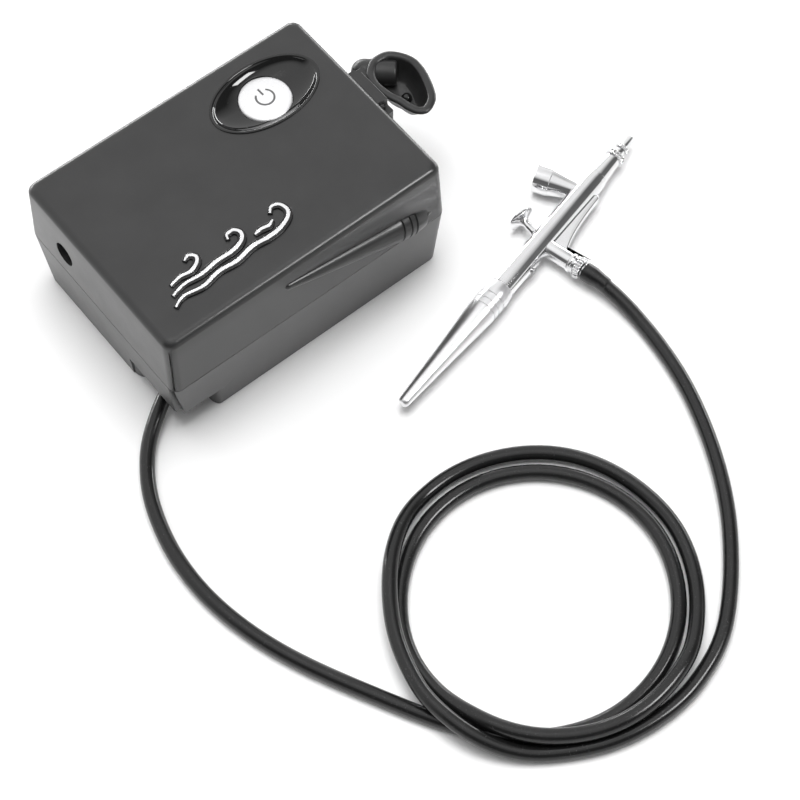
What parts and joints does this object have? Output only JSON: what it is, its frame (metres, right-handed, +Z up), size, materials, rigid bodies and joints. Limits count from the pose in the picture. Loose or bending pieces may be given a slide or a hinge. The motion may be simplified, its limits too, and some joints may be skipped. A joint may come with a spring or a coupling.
{
  "type": "airbrush compressor",
  "caption": "Small two-part air compressor with a domed button in an oval bowl, a side holder, a coiled air hose and a gravity-feed airbrush.",
  "frame": {"origin": "on the underside of the base, at the middle of the case; the floor is z = 0", "axes": "+X along the case's long side towards the holder, +Y across the case away from the airbrush, +Z up"},
  "size_m": [0.2593, 0.2965, 0.0634],
  "materials": {
    "cover_plastic": "semi-gloss black, finely textured",
    "base_plastic": "satin black, finely textured",
    "foot_rubber": "matt black",
    "screw_steel": "zinc plated",
    "bowl_gloss": "piano black",
    "button_silver": "satin silver",
    "spring_steel": "bright wire",
    "switch_black": "black moulding",
    "board_green": "green board",
    "badge_black": "gloss black",
    "badge_chrome": "mirror",
    "socket_black": "black",
    "holder_black": "semi-gloss black",
    "motor_steel": "zinc plated",
    "cap_nylon": "white nylon",
    "magnet": "dark ferrite",
    "pump_metal": "die cast",
    "pump_plastic": "off-white",
    "seal_rubber": "moulded rubber",
    "tube_clear": "translucent silicone",
    "wire_red": "insulated wire",
    "hose_black": "glossy black",
    "gland_black": "black",
    "airbrush_chrome": "polished chrome",
    "airbrush_satin": "satin",
    "needle_steel": "polished",
    "chuck_brass": "turned"
  },
  "bodies": {
    "case": {"top_cover": "cover_plastic", "base_tray": "base_plastic", "rubber_feet": "foot_rubber", "case_screws": "screw_steel", "pump_screws": "screw_steel", "set_screw": "screw_steel", "bowl_bezel": "bowl_gloss", "button_spring": "spring_steel", "valve_spring": "spring_steel", "needle_spring": "spring_steel", "switch_body": "switch_black", "circuit_board": "board_green", "badge_plate": "badge_black", "badge_trim": "badge_chrome", "dc_socket": "socket_black", "motor_can": "motor_steel", "motor_end_cap": "cap_nylon", "motor_cradle": "cap_nylon", "motor_magnets": "magnet", "pump_frame": "pump_metal", "pump_head": "pump_metal", "valve_plate": "pump_plastic", "diaphragm_seal": "seal_rubber", "inner_tube": "tube_clear", "wiring": "wire_red", "hose_supply": "hose_black", "hose_coil": "hose_black", "hose_lead": "hose_black", "hose_gland": "gland_black", "airbrush_body": "airbrush_chrome", "valve_body": "airbrush_chrome", "finger_rest": "airbrush_chrome", "paint_cup": "airbrush_chrome", "nozzle_cap": "airbrush_chrome", "needle_cap": "airbrush_chrome", "hose_barb": "airbrush_chrome", "airbrush_handle": "airbrush_satin", "nozzle": "needle_steel"},
    "button": {"power_button": "button_silver"},
    "rotor": {"motor_rotor": "motor_steel", "eccentric": "pump_metal"},
    "rod": {"connecting_rod": "pump_plastic", "diaphragm": "seal_rubber"},
    "holder": {"holder_bracket": "holder_black", "holder_boss": "holder_black", "holder_cup": "holder_black"},
    "trigger_foot": {"trigger_post": "airbrush_chrome"},
    "trigger_pad": {"trigger": "airbrush_chrome"},
    "needle_set": {"needle": "needle_steel", "needle_chuck": "chuck_brass"},
    "plunger": {"valve_plunger": "airbrush_chrome"},
    "nut": {"hose_nut": "airbrush_chrome"}
  },
  "joints": [
    {"name": "button_press", "type": "slide", "parent": "case", "child": "button", "axis": [0, 0, -1], "range_m": [0, 0.0016], "stiffness_N_per_m": 700, "springref_m": -0.0001, "deforming": ["button_spring"]},
    {"name": "motor_spin", "type": "hinge", "parent": "case", "child": "rotor", "pos_m": [0, 0.008, 0.018], "axis": [1, 0, 0], "continuous": true},
    {"name": "rod_stroke", "type": "slide", "parent": "case", "child": "rod", "axis": [0, 0, 1], "range_m": [-0.0012, 0.0012]},
    {"name": "holder_lift", "type": "slide", "parent": "case", "child": "holder", "axis": [0, 0, 1], "range_m": [0, 0.016]},
    {"name": "trigger_press", "type": "slide", "parent": "case", "child": "trigger_foot", "axis": [0.2419, -0.9703, 0], "range_m": [0, 0.0012], "stiffness_N_per_m": 600},
    {"name": "trigger_pull", "type": "hinge", "parent": "trigger_foot", "child": "trigger_pad", "pos_m": [0.09681, -0.06531, 0.0062], "axis": [0, 0, 1], "range_deg": [0, 15]},
    {"name": "needle_draw", "type": "slide", "parent": "case", "child": "needle_set", "axis": [-0.9703, -0.2419, 0], "range_m": [0, 0.0024], "stiffness_N_per_m": 60, "deforming": ["needle_spring"]},
    {"name": "plunger_press", "type": "slide", "parent": "case", "child": "plunger", "axis": [0.2419, -0.9703, 0], "range_m": [0, 0.0012], "deforming": ["valve_spring"]},
    {"name": "nut_spin", "type": "hinge", "parent": "case", "child": "nut", "pos_m": [0.10018, -0.08785, 0.0062], "axis": [-0.2419, 0.9703, 0], "continuous": true}
  ],
  "couplings": [
    {"joint": "trigger_pull", "follows": "needle_draw", "rad_per_m": 109},
    {"joint": "plunger_press", "follows": "trigger_press", "ratio": 1}
  ]
}
